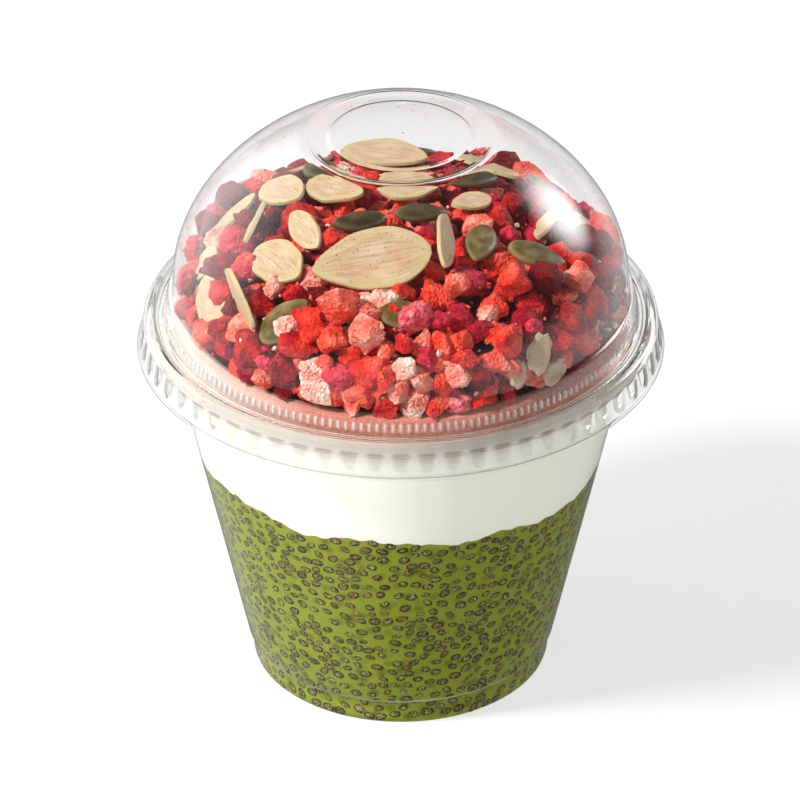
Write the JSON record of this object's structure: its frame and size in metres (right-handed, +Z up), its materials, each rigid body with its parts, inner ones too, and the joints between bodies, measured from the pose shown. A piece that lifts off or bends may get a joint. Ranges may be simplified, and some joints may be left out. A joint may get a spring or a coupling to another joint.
{
  "type": "chia pudding",
  "caption": "Clear cup of green chia pudding and yogurt with strawberry pieces, sliced almonds and pumpkin seeds under a clear domed lid.",
  "frame": {"origin": "middle of the underside of the cup's foot", "axes": "+Z up through the middle of the lid, -Y towards the front that the picture shows, +X to its right"},
  "size_m": [0.0964, 0.0964, 0.1095],
  "materials": {
    "clear_plastic": "clear, glossy, thin moulded sheet",
    "chia_pudding": "moist green gel full of dark seeds",
    "yogurt": "smooth, moist, off-white",
    "freeze_dried_strawberry": "dry, matt, finely pitted",
    "almond": "dry, cream, faintly grained",
    "pumpkin_seed": "dry olive green, slight sheen"
  },
  "bodies": {
    "root": {"cup": "clear_plastic", "lid": "clear_plastic", "chia_pudding": "chia_pudding", "yogurt": "yogurt", "topping_heap": "freeze_dried_strawberry", "almond_slice_01": "almond", "almond_slice_02": "almond", "almond_slice_03": "almond", "almond_slice_04": "almond", "almond_slice_05": "almond", "almond_slice_06": "almond", "almond_slice_07": "almond", "almond_slice_08": "almond", "almond_slice_09": "almond", "almond_slice_10": "almond", "almond_slice_11": "almond", "almond_slice_12": "almond", "almond_slice_13": "almond", "almond_slice_14": "almond", "almond_slice_15": "almond", "almond_slice_16": "almond", "almond_slice_17": "almond", "almond_slice_18": "almond", "almond_slice_19": "almond", "almond_slice_20": "almond", "almond_slice_21": "almond", "pumpkin_seed_01": "pumpkin_seed", "pumpkin_seed_02": "pumpkin_seed", "pumpkin_seed_03": "pumpkin_seed", "pumpkin_seed_04": "pumpkin_seed", "pumpkin_seed_05": "pumpkin_seed", "pumpkin_seed_06": "pumpkin_seed", "pumpkin_seed_07": "pumpkin_seed", "pumpkin_seed_08": "pumpkin_seed", "pumpkin_seed_09": "pumpkin_seed", "pumpkin_seed_10": "pumpkin_seed"}
  },
  "joints": []
}
